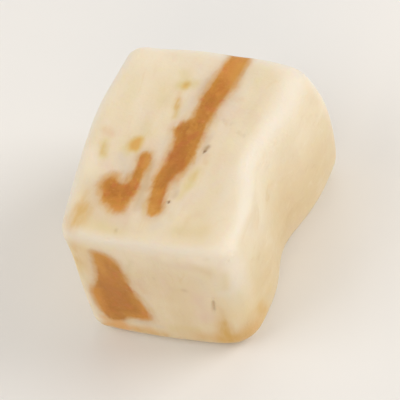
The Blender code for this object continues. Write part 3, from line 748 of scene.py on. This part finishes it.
def build_block():
    cube, quads, charts = cube_skin((126, 150, 98))
    coarse = np.sin(cube_skin([COARSE_CUTS + 1] * 3)[0] * np.pi / 2.0)
    rough, _ = block_surface(coarse)
    middle = (rough.min(axis=0) + rough.max(axis=0)) / 2.0

    # a little closer rows near the edges
    cube = 0.75 * cube + 0.25 * np.sin(cube * np.pi / 2.0)
    base, facing = block_surface(cube)
    base = relaxed(base, quads, 8)
    underside = facing[:, 2] < -0.9999
    base[underside, 2] = 0.0
    normals = vertex_normals(base, quads)

    leading = np.sort(np.abs(facing), axis=1)
    ridge = smooth(1.1 * leading[:, 1] / np.maximum(leading[:, 2], 1e-6)) ** 0.85
    # edges are painted paler: partly cream worn paler by handling, partly a painted highlight, less so low down
    rub_and_highlight = 0.30 + 0.70 * smooth(base[:, 2] / 7.0)
    # the two faces across X are the slab's smooth skins, the other four are cut
    skin = smooth((np.abs(normals[:, 0]) - 0.55) / 0.35)
    # the layers of the kneaded slab stand upright and slant a little
    layer = (base[:, 0] - 0.12 * base[:, 1] + 0.03 * base[:, 2]
             + 1.5 * noise(base / (9.0, 13.0, 11.0), 101) + 0.55 * noise(base / (3.5, 6.0, 5.0), 107)
             + 0.12 * noise(base / (1.2, 2.4, 2.0), 109))

    depth = caramel_depth(base)
    caramel = smooth(0.5 + depth / 0.5)

    rng = np.random.default_rng(11)
    height = 0.045 * noise(base / 4.6, 3) + 0.022 * noise(base / 2.1, 5) + 0.009 * noise(base / 0.95, 8)
    # layers pull a little at the knife: long low ribs on the cut faces
    ribs = noise(np.stack([layer / 0.55, base[:, 1] / 7.0, base[:, 2] / 6.0], 1), 121)
    height += 0.007 * ribs * (1.0 - skin) * (1.0 - 0.7 * caramel)
    height += -0.030 * caramel + 0.010 * caramel * noise(base / 0.8, 13)
    # the skins keep the shallow dents of handling
    height += skin * (0.050 * noise(base / (5.0, 7.5, 6.0), 19) + 0.020 * noise(base / (2.2, 3.4, 2.6), 27))
    for pick in rng.choice(len(base), 44, replace=False):
        small = rng.uniform(0.20, 0.36)
        if normals[pick, 2] > -0.5 and (skin[pick] < 0.5 or rng.uniform() < 0.3):
            height += opened_bubble(base, base[pick], small, small * rng.uniform(0.10, 0.20))
    spare = np.random.default_rng(29)
    for pick in spare.choice(np.flatnonzero((skin > 0.8) & (base[:, 2] > 1.5)), 26, replace=False):
        small = spare.uniform(0.16, 0.34)
        height += opened_bubble(base, base[pick], small, small * spare.uniform(0.07, 0.13))
    for centre, radius, deep in RINGS:
        height += opened_bubble(base, centre, radius, deep)
    for start, end, radius in SPECKS:
        height += -0.05 * smooth(0.5 + inside_strand(base, (start, end), (radius, radius)) / 0.24)
    for points, width, deep in CREASES:
        near = inside_strand(base + wobble(base, 0.8, 61) * 0.08, points, [0.0] * len(points))
        height += -deep * np.exp(-(near / width) ** 2) + 0.25 * deep * np.exp(-((near + 2.4 * width) / width) ** 2)
    fade = smooth((base[:, 2] - 0.05) / 1.2)
    points = base + normals * (height * fade)[:, None]
    points[underside, 2] = 0.0
    points[:, 2] = np.maximum(points[:, 2], 0.0)

    shifted = drawn_out(base + wobble(base, 1.3, 71) * 0.24 + wobble(base, 0.5, 77) * 0.06, 0.55, 2.2, 0.22, 81)
    broad = drawn_out(base + wobble(base, 1.9, 91) * 0.50, 0.9, 3.2, 0.30, 97)
    loose = drawn_out(base + wobble(base, 2.4, 131) * 0.55 + wobble(base, 0.8, 137) * 0.14, 0.7, 2.4, 0.25, 139)
    fields = {
        "caramel": np.clip(depth, -2.5, 2.5),
        "spot": np.clip(spot_depth(base), -1.0, 1.0),
        "gold": soft_sum(shifted, GOLD),
        "yellow": soft_sum(shifted, YELLOW),
        "film": soft_sum(shifted, FILM),
        "pink": soft_sum(broad, PINK),
        "pale": soft_sum(broad, PALE),
        "tan_and_shade": soft_sum(broad, TAN_AND_SHADE),
        "white_and_highlight": soft_sum(broad, WHITER_AND_HIGHLIGHTS),
        "thin": soft_sum(shifted, THIN),
        "red": soft_sum(shifted, RED),
        "haze": soft_sum(broad, HAZE),
        "bright": soft_sum(shifted, BRIGHT),
        "deep": soft_sum(shifted, DEEP),
        "dull": soft_sum(broad, DULL),
        "glow": soft_sum(loose, GLOW),
        "butter": soft_sum(broad, BUTTER),
        "mark_and_shade": soft_sum(base + wobble(base, 0.5, 83) * 0.05, MARKS_AND_CREASE_SHADE),
        "speck": np.max([smooth(0.5 + inside_strand(base, (a, b), (r, r)) / 0.16) for a, b, r in SPECKS], axis=0),
        "ridge": ridge * rub_and_highlight,
        "edge": near_edge(cube, 3.4) * rub_and_highlight,
        "skin": skin,
        "layer": layer,
    }
    points[:, :2] -= middle[:2]
    return points * MM, quads, charts, fields, middle


# Each face's chart in the flat map: lower left corner and size in mm.
CHARTS = {
    4: ((0.6, 0.6), (24.4, 29.5)), 5: ((25.6, 0.6), (24.4, 29.5)),        # under, top: x by y
    0: ((0.6, 30.7), (29.5, 18.6)), 1: ((0.6, 49.9), (29.5, 18.6)),       # left, right: y by z
    2: ((30.7, 30.7), (24.4, 18.6)), 3: ((30.7, 49.9), (24.4, 18.6)),     # front, back: x by z
}
CHART_SIDE = 69.1


def make_mesh(name, points, quads, charts, fields):
    mesh = bpy.data.meshes.new(name)
    mesh.vertices.add(len(points))
    mesh.vertices.foreach_set("co", points.astype(np.float32).ravel())
    mesh.loops.add(quads.size)
    mesh.loops.foreach_set("vertex_index", quads.astype(np.int32).ravel())
    mesh.polygons.add(len(quads))
    mesh.polygons.foreach_set("loop_start", np.arange(0, quads.size, 4, dtype=np.int32))
    mesh.update(calc_edges=True)
    places = []
    for chart, corner in charts:
        (x, y), (w, h) = CHARTS[chart]
        if chart in (2, 3):              # these run z by x
            corner = corner[..., ::-1]
        places.append((corner * (w, h) + (x, y)) / CHART_SIDE)
    layer = mesh.uv_layers.new(name="OFBake")
    layer.uv.foreach_set("vector", np.concatenate(places).astype(np.float32).ravel())
    for key, values in fields.items():
        attribute = mesh.attributes.new(key, "FLOAT", "POINT")
        attribute.data.foreach_set("value", values.astype(np.float32))
    mesh.shade_smooth()
    mesh.validate()
    return mesh


# ================================================================ material
def linear(*rgb):
    """A colour written as 0-255 screen values, as the linear values that shaders use."""
    return tuple((c / 255.0 / 12.92) if c / 255.0 <= 0.04045 else ((c / 255.0 + 0.055) / 1.055) ** 2.4
                 for c in rgb) + (1.0,)


class Nodes:
    """Short names for making and joining shader nodes."""

    def __init__(self, tree):
        self.tree = tree

    def put(self, socket, value):
        if isinstance(value, bpy.types.NodeSocket):
            self.tree.links.new(value, socket)
        elif value is not None:
            socket.default_value = value

    def attribute(self, name):
        node = self.tree.nodes.new("ShaderNodeAttribute")
        node.attribute_type = "GEOMETRY"
        node.attribute_name = name
        return node.outputs["Fac"]

    def math(self, operation, a, b=None, c=None, clamp=False):
        node = self.tree.nodes.new("ShaderNodeMath")
        node.operation = operation
        node.use_clamp = clamp
        for socket, value in zip(node.inputs, (a, b, c)):
            self.put(socket, value)
        return node.outputs[0]

    def times(self, *values):
        """The product of numbers and sockets."""
        result = values[0]
        for value in values[1:]:
            result = self.math("MULTIPLY", result, value)
        return result

    def ranged(self, value, low, high, to_low=0.0, to_high=1.0, kind="SMOOTHSTEP"):
        node = self.tree.nodes.new("ShaderNodeMapRange")
        node.interpolation_type = kind
        for key, v in (("Value", value), ("From Min", low), ("From Max", high),
                       ("To Min", to_low), ("To Max", to_high)):
            self.put(node.inputs[key], v)
        return node.outputs["Result"]

    def mapping(self, vector, scale=(1, 1, 1), rotation=(0, 0, 0), location=(0, 0, 0)):
        node = self.tree.nodes.new("ShaderNodeMapping")
        self.put(node.inputs["Vector"], vector)
        node.inputs["Scale"].default_value = scale
        node.inputs["Rotation"].default_value = rotation
        node.inputs["Location"].default_value = location
        return node.outputs["Vector"]

    def noise(self, vector, scale, detail=2.0, roughness=0.5, distortion=0.0):
        node = self.tree.nodes.new("ShaderNodeTexNoise")
        node.noise_dimensions = "3D"
        self.put(node.inputs["Vector"], vector)
        node.inputs["Scale"].default_value = scale
        node.inputs["Detail"].default_value = detail
        node.inputs["Roughness"].default_value = roughness
        node.inputs["Distortion"].default_value = distortion
        return node.outputs["Fac"]

    def cells(self, vector, scale, randomness=1.0):
        node = self.tree.nodes.new("ShaderNodeTexVoronoi")
        node.feature = "F1"
        self.put(node.inputs["Vector"], vector)
        node.inputs["Scale"].default_value = scale
        node.inputs["Randomness"].default_value = randomness
        return node

    def mix(self, share, a, b):
        node = self.tree.nodes.new("ShaderNodeMix")
        node.data_type = "RGBA"
        node.clamp_factor = True
        self.put(node.inputs[0], share)
        self.put(node.inputs[6], a)
        self.put(node.inputs[7], b)
        return node.outputs[2]

    def bump(self, height, strength, distance, normal=None):
        node = self.tree.nodes.new("ShaderNodeBump")
        node.inputs["Strength"].default_value = strength
        node.inputs["Distance"].default_value = distance
        self.put(node.inputs["Height"], height)
        if normal is not None:
            self.put(node.inputs["Normal"], normal)
        return node.outputs["Normal"]


def nougat_material():
    material = bpy.data.materials.new("nougat_marbled")
    material.use_nodes = True
    tree = material.node_tree
    n = Nodes(tree)
    shader = tree.nodes["Principled BSDF"]
    place = tree.nodes.new("ShaderNodeTexCoord").outputs["Object"]
    mm = n.mapping(place, scale=(1000.0, 1000.0, 1000.0))
    apart = tree.nodes.new("ShaderNodeSeparateXYZ")
    n.put(apart.inputs[0], mm)
    skin = n.attribute("skin")
    cut = n.math("SUBTRACT", 1.0, skin)

    def layered(across, along, upward, offset=0.0):
        """Coordinates that follow the kneaded layers: close across them, drawn out along them."""
        node = tree.nodes.new("ShaderNodeCombineXYZ")
        n.put(node.inputs[0], n.math("MULTIPLY_ADD", n.attribute("layer"), across, offset))
        n.put(node.inputs[1], n.math("MULTIPLY", apart.outputs[1], along))
        n.put(node.inputs[2], n.math("MULTIPLY", apart.outputs[2], upward))
        return node.outputs[0]

    # ---- cream: soft clouds, a few drawn-out bands, hardly any grain
    cloud = n.noise(mm, 0.13, 2.0, 0.5, 0.4)
    cream = n.mix(n.ranged(cloud, 0.36, 0.64), linear(234, 218, 188), linear(229, 211, 177))
    blot = n.noise(mm, 0.34, 3.0, 0.55, 0.6)
    cream = n.mix(n.times(n.ranged(blot, 0.54, 0.72), 0.55), cream, linear(229, 207, 184))
    cream = n.mix(n.times(n.ranged(blot, 0.45, 0.28), 0.55), cream, linear(231, 217, 174))
    small = n.noise(mm, 0.85, 2.0, 0.55, 0.5)
    cream = n.mix(n.times(n.ranged(small, 0.54, 0.72), 0.30), cream, linear(232, 208, 184))
    cream = n.mix(n.times(n.ranged(small, 0.44, 0.28), 0.30), cream, linear(228, 216, 182))
    bands = n.noise(layered(0.30, 0.06, 0.07), 1.0, 2.0, 0.5)
    cream = n.mix(n.times(n.ranged(bands, 0.55, 0.72), 0.40, cut), cream, linear(225, 204, 165))
    cream = n.mix(n.times(n.ranged(bands, 0.44, 0.28), 0.45, cut), cream, linear(228, 215, 196))
    fine = n.noise(layered(1.2, 0.22, 0.26, 3.0), 1.0, 3.0, 0.6)
    cream = n.mix(n.times(n.ranged(fine, 0.55, 0.72), 0.14, cut), cream, linear(218, 192, 148))
    cream = n.mix(n.times(n.ranged(fine, 0.42, 0.28), 0.16, cut), cream, linear(236, 226, 206))
    # faint golden wisps, only here and there
    vein = n.noise(layered(0.50, 0.12, 0.14, 11.0), 1.0, 1.0, 0.5, 0.35)
    vein = n.ranged(n.math("ABSOLUTE", n.math("SUBTRACT", vein, 0.5)), 0.030, 0.0)
    broken = n.ranged(n.noise(mm, 0.24, 1.0, 0.5), 0.56, 0.70)
    cream = n.mix(n.times(vein, broken, 0.26, cut), cream, linear(222, 192, 136))
    grain = n.noise(mm, 4.5, 2.0, 0.6)
    cream = n.mix(n.times(n.ranged(grain, 0.48, 0.78), 0.10), cream, linear(208, 182, 142))
    # the skins are yellower, and darker towards the bottom, a painted shade
    lower = n.ranged(apart.outputs[2], 14.5, 7.0)
    cream = n.mix(n.times(skin, 0.55), cream, n.mix(lower, linear(233, 219, 189), linear(219, 195, 149)))
    # the smooth skins keep faint clouds and long faint smears
    smear = n.noise(n.mapping(mm, scale=(0.5, 0.10, 0.30)), 1.0, 3.0, 0.55, 0.5)
    cream = n.mix(n.times(n.ranged(smear, 0.54, 0.72), skin, 0.40), cream, linear(216, 190, 146))
    cream = n.mix(n.times(n.ranged(smear, 0.44, 0.28), skin, 0.38), cream, linear(239, 228, 203))
    fleck = n.noise(n.mapping(mm, scale=(1.0, 0.42, 0.80)), 0.9, 3.0, 0.6, 0.3)
    cream = n.mix(n.times(n.ranged(fleck, 0.56, 0.74), skin, 0.30), cream, linear(212, 184, 138))
    cream = n.mix(n.times(n.ranged(fleck, 0.42, 0.26), skin, 0.28), cream, linear(242, 232, 210))

    # ---- where the caramel lies, with a ragged, uneven and mostly soft edge
    ragged = n.math("ADD",
                    n.times(n.math("SUBTRACT", n.noise(layered(0.9, 0.5, 0.6, 5.0), 1.0, 2.0, 0.55), 0.5), 0.50),
                    n.times(n.math("SUBTRACT", n.noise(mm, 2.2, 2.0, 0.5), 0.5), 0.22))
    ragged = n.math("ADD", ragged, n.times(
        n.math("SUBTRACT", n.noise(layered(2.1, 0.34, 0.4, 17.0), 1.0, 2.0, 0.5), 0.5), 0.36))
    depth = n.math("ADD", n.attribute("caramel"), ragged)
    soft = n.ranged(n.noise(mm, 0.42, 1.0, 0.5), 0.38, 0.64, 0.26, 0.52)
    soft = n.math("ADD", soft, n.times(n.attribute("haze"), 0.42))
    inside = n.ranged(depth, n.times(soft, -1.25), n.times(soft, 1.0))

    # ---- the cream's changes from place to place, with painted highlights and painted shade among them
    halo = n.ranged(depth, -1.9, -0.3)
    cream = n.mix(n.times(halo, 0.50, cut), cream, linear(223, 202, 174))
    beside = n.times(n.ranged(depth, -1.15, -0.05), n.math("MULTIPLY_ADD", n.attribute("haze"), 0.30, 0.32))
    # deeper cream, with painted shade at the front of the top, on the right face and beside two bubbles
    cream = n.mix(n.times(n.attribute("tan_and_shade"), 0.80), cream, linear(219, 194, 148))
    cream = n.mix(n.times(n.attribute("pink"), 0.75), cream, linear(226, 200, 180))
    cream = n.mix(n.times(n.attribute("pale"), 0.80), cream, linear(217, 201, 182))
    # painted highlight: paler cream within a few mm of every edge, weaker low down
    cream = n.mix(n.times(n.attribute("edge"), 0.36), cream, linear(239, 229, 208))
    # on the rounded edges: partly worn paler cream, partly a painted highlight, warmer low down
    low_edge = n.ranged(apart.outputs[2], 10.5, 5.0)
    cream = n.mix(n.times(n.attribute("ridge"), 0.70), cream,
                  n.mix(low_edge, linear(238, 230, 215), linear(242, 224, 192)))
    # paler cream in places, and painted highlights along the edges and corners
    cream = n.mix(n.times(n.attribute("white_and_highlight"), 0.75), cream, linear(249, 238, 219))
    cream = n.mix(n.times(n.attribute("butter"), 0.85), cream, linear(238, 211, 142))
    cream = n.mix(n.times(n.attribute("film"), 0.85), cream, linear(214, 162, 108))
    cream = n.mix(n.times(n.attribute("yellow"), 0.70), cream, linear(217, 198, 136))
    cream = n.mix(n.times(n.attribute("dull"), 0.94), cream, linear(204, 178, 144))
    cream = n.mix(beside, cream, linear(206, 166, 116))
    streaky = n.ranged(n.noise(layered(1.6, 0.45, 0.5, 8.0), 1.0, 2.0, 0.6), 0.30, 0.62, 0.62, 1.0)
    glow = n.mix(n.ranged(apart.outputs[0], -1.0, 4.0), linear(228, 175, 109), linear(219, 178, 114))
    cream = n.mix(n.times(n.attribute("glow"), 0.92), cream, glow)
    cream = n.mix(n.times(n.attribute("gold"), streaky, 0.95), cream, linear(214, 172, 96))

    # ---- caramel: thin and golden at the rim, deeper inside, mottled
    rim = n.noise(layered(0.55, 0.25, 0.3, 14.0), 1.0, 2.0, 0.5)
    toffee = n.mix(n.ranged(depth, -0.20, 0.55), linear(209, 160, 90), linear(193, 131, 52))
    toffee = n.mix(n.ranged(depth, 0.40, 1.60), toffee, linear(182, 119, 40))
    toffee = n.mix(n.times(n.ranged(depth, 0.75, 0.0), n.ranged(rim, 0.50, 0.66), 0.70), toffee, linear(211, 152, 70))
    mottle = n.noise(layered(0.60, 0.40, 0.45, 2.0), 1.0, 2.0, 0.55, 0.5)
    toffee = n.mix(n.times(n.ranged(mottle, 0.52, 0.68), 0.70), toffee, linear(205, 141, 56))
    toffee = n.mix(n.times(n.ranged(mottle, 0.46, 0.31), 0.62), toffee, linear(174, 107, 36))
    blush = n.noise(mm, 0.75, 2.0, 0.5, 0.3)
    toffee = n.mix(n.times(n.ranged(blush, 0.53, 0.68), 0.60), toffee, linear(198, 116, 58))
    toffee = n.mix(n.times(n.ranged(blush, 0.46, 0.30), 0.50), toffee, linear(188, 134, 46))
    crumbs = n.noise(mm, 2.4, 2.0, 0.55)
    toffee = n.mix(n.times(n.ranged(crumbs, 0.54, 0.74), 0.24), toffee, linear(160, 92, 34))
    toffee = n.mix(n.times(n.ranged(crumbs, 0.44, 0.26), 0.24), toffee, linear(218, 164, 88))
    toffee = n.mix(n.times(n.attribute("red"), 0.62), toffee, linear(180, 96, 40))
    toffee = n.mix(n.times(n.attribute("deep"), 0.70), toffee, linear(166, 102, 36))
    toffee = n.mix(n.times(n.attribute("bright"), 0.50), toffee, linear(226, 144, 66))
    toffee = n.mix(n.times(n.attribute("thin"), 0.80), toffee, linear(214, 158, 76))
    colour = n.mix(inside, cream, toffee)

    spot = n.math("ADD", n.attribute("spot"), n.times(ragged, 0.5))
    amber = n.mix(n.ranged(spot, 0.05, 0.55), linear(218, 181, 102), linear(217, 165, 78))
    colour = n.mix(n.times(n.ranged(spot, -0.50, 0.40), 0.90), colour, amber)
    # brown marks, and a painted shade inside the front crease
    colour = n.mix(n.times(n.attribute("mark_and_shade"), 0.85), colour, linear(166, 128, 82))
    colour = n.mix(n.times(n.attribute("speck"), 0.88), colour, linear(128, 90, 54))
    n.put(shader.inputs["Base Color"], colour)

    # ---- gloss
    sheen = n.noise(mm, 0.8, 3.0, 0.6)
    rough = n.ranged(sheen, 0.3, 0.7, 0.44, 0.58)
    rough = n.math("ADD", rough, n.times(n.math("SUBTRACT", grain, 0.5), 0.10))
    rough = n.math("ADD", rough, n.times(n.math("SUBTRACT", fine, 0.5), cut, 0.14))
    rough = n.math("SUBTRACT", rough, n.times(inside, 0.08))
    rough = n.math("ADD", rough, n.times(n.attribute("ridge"), 0.06))
    n.put(shader.inputs["Roughness"], rough)

    # ---- fine relief
    height = n.math("ADD", n.noise(mm, 1.9, 4.0, 0.58), n.times(fine, cut, 0.30))
    pits = n.cells(mm, 0.95)
    height = n.math("ADD", height, n.times(n.ranged(pits.outputs["Distance"], 0.05, 0.14), 0.20))
    height = n.math("ADD", height, n.times(n.noise(mm, 4.5, 3.0, 0.7), inside, 0.30))
    height = n.math("ADD", height, n.times(fleck, skin, 0.45))
    n.put(shader.inputs["Normal"], n.bump(height, 0.5, 0.00010))

    shader.inputs["Metallic"].default_value = 0.0
    shader.inputs["IOR"].default_value = 1.46
    shader.inputs["Specular IOR Level"].default_value = 0.38
    shader.inputs["Subsurface Weight"].default_value = 0.30
    shader.inputs["Subsurface Radius"].default_value = (1.0, 0.60, 0.30)
    shader.inputs["Subsurface Scale"].default_value = 0.0011
    return material


points, quads, charts, fields, middle = build_block()
block = bpy.data.objects.new("nougat_block", make_mesh("nougat_block", points, quads, charts, fields))
block.data.materials.append(nougat_material())
bpy.context.scene.collection.objects.link(block)
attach(block, "root")
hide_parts("nougat")

# ================================================================ floor, light and camera
floor_mesh = bpy.data.meshes.new("floor")
side = 1.5
floor_mesh.from_pydata([(-side, -side, 0), (side, -side, 0), (side, side, 0), (-side, side, 0)], [], [(0, 1, 2, 3)])
floor = bpy.data.objects.new("floor", floor_mesh)
paper = bpy.data.materials.new("pale_floor")
paper.use_nodes = True
paper.node_tree.nodes["Principled BSDF"].inputs["Base Color"].default_value = (0.86, 0.845, 0.82, 1.0)
paper.node_tree.nodes["Principled BSDF"].inputs["Roughness"].default_value = 0.9
paper.node_tree.nodes["Principled BSDF"].inputs["Specular IOR Level"].default_value = 0.2
floor_mesh.materials.append(paper)
bpy.context.scene.collection.objects.link(floor)

world = bpy.data.worlds.new("soft_room")
world.use_nodes = True
world.node_tree.nodes["Background"].inputs["Color"].default_value = (1.0, 0.99, 0.975, 1.0)
world.node_tree.nodes["Background"].inputs["Strength"].default_value = 0.365
bpy.context.scene.world = world

AIM = Vector((0.0, 0.0, 0.009))


def softbox(name, azimuth, elevation, distance, size, power, colour=(1.0, 1.0, 1.0)):
    """A square soft light; azimuth 0 stands in front of the block, 90 at its right."""
    a, e = math.radians(azimuth), math.radians(elevation)
    back = Vector((math.sin(a) * math.cos(e), -math.cos(a) * math.cos(e), math.sin(e)))
    data = bpy.data.lights.new(name, "AREA")
    data.shape = "SQUARE"
    data.size = size
    data.energy = power
    data.color = colour
    lamp = bpy.data.objects.new(name, data)
    lamp.location = AIM + back * distance
    lamp.rotation_mode = "QUATERNION"
    lamp.rotation_quaternion = (-back).to_track_quat("-Z", "Y")
    bpy.context.scene.collection.objects.link(lamp)
    return lamp


softbox("key", 118, 33, 0.60, 0.36, 1.86, (1.0, 0.99, 0.98))
softbox("window", -58, 46, 0.70, 0.55, 1.60, (1.0, 0.99, 0.975))
softbox("side", -116, 12, 0.70, 0.40, 0.72, (1.0, 0.92, 0.80))
softbox("back", 188, 46, 0.70, 0.40, 0.55, (1.0, 1.0, 1.0))
softbox("fill", 22, 28, 0.70, 0.42, 1.05, (1.0, 0.80, 0.59))


# The picture looks down on the block from its front right, tipped a little.
VIEW_AZIMUTH, VIEW_ELEVATION, VIEW_ROLL = 33.8, 50.73, -19.3
VIEW_DISTANCE = 560.0          # mm
PICTURE_SCALE = 2.9            # px per mm in the picture
ENLARGED = 3.0                 # how much larger the block is drawn here
CENTRE_OFFSET = (0.25, -0.545)  # mm right and up from the block's middle to the centre of the view


def make_camera():
    a, e, r = (math.radians(v) for v in (VIEW_AZIMUTH, VIEW_ELEVATION, VIEW_ROLL))
    back = Vector((math.sin(a) * math.cos(e), -math.cos(a) * math.cos(e), math.sin(e)))
    level = Vector((0, 0, 1)).cross(back).normalized()
    upward = back.cross(level)
    right = level * math.cos(r) + upward * math.sin(r)
    up = upward * math.cos(r) - level * math.sin(r)
    target = Vector((-middle[0], -middle[1], HEIGHT / 2.0)) + right * CENTRE_OFFSET[0] + up * CENTRE_OFFSET[1]
    data = bpy.data.cameras.new("view")
    data.sensor_width = 36.0
    data.lens = 36.0 * VIEW_DISTANCE * PICTURE_SCALE * ENLARGED / 400.0
    data.clip_start, data.clip_end = 0.01, 10.0
    camera = bpy.data.objects.new("view", data)
    camera.matrix_world = Matrix((
        (right.x, up.x, back.x, 0.0), (right.y, up.y, back.y, 0.0), (right.z, up.z, back.z, 0.0), (0, 0, 0, 1.0),
    ))
    camera.location = (target + back * VIEW_DISTANCE) * MM
    bpy.context.scene.collection.objects.link(camera)
    bpy.context.scene.camera = camera


make_camera()
bpy.context.scene.view_settings.view_transform = "Standard"
bpy.context.scene.view_settings.look = "None"
bpy.context.scene.cycles.use_denoising = True
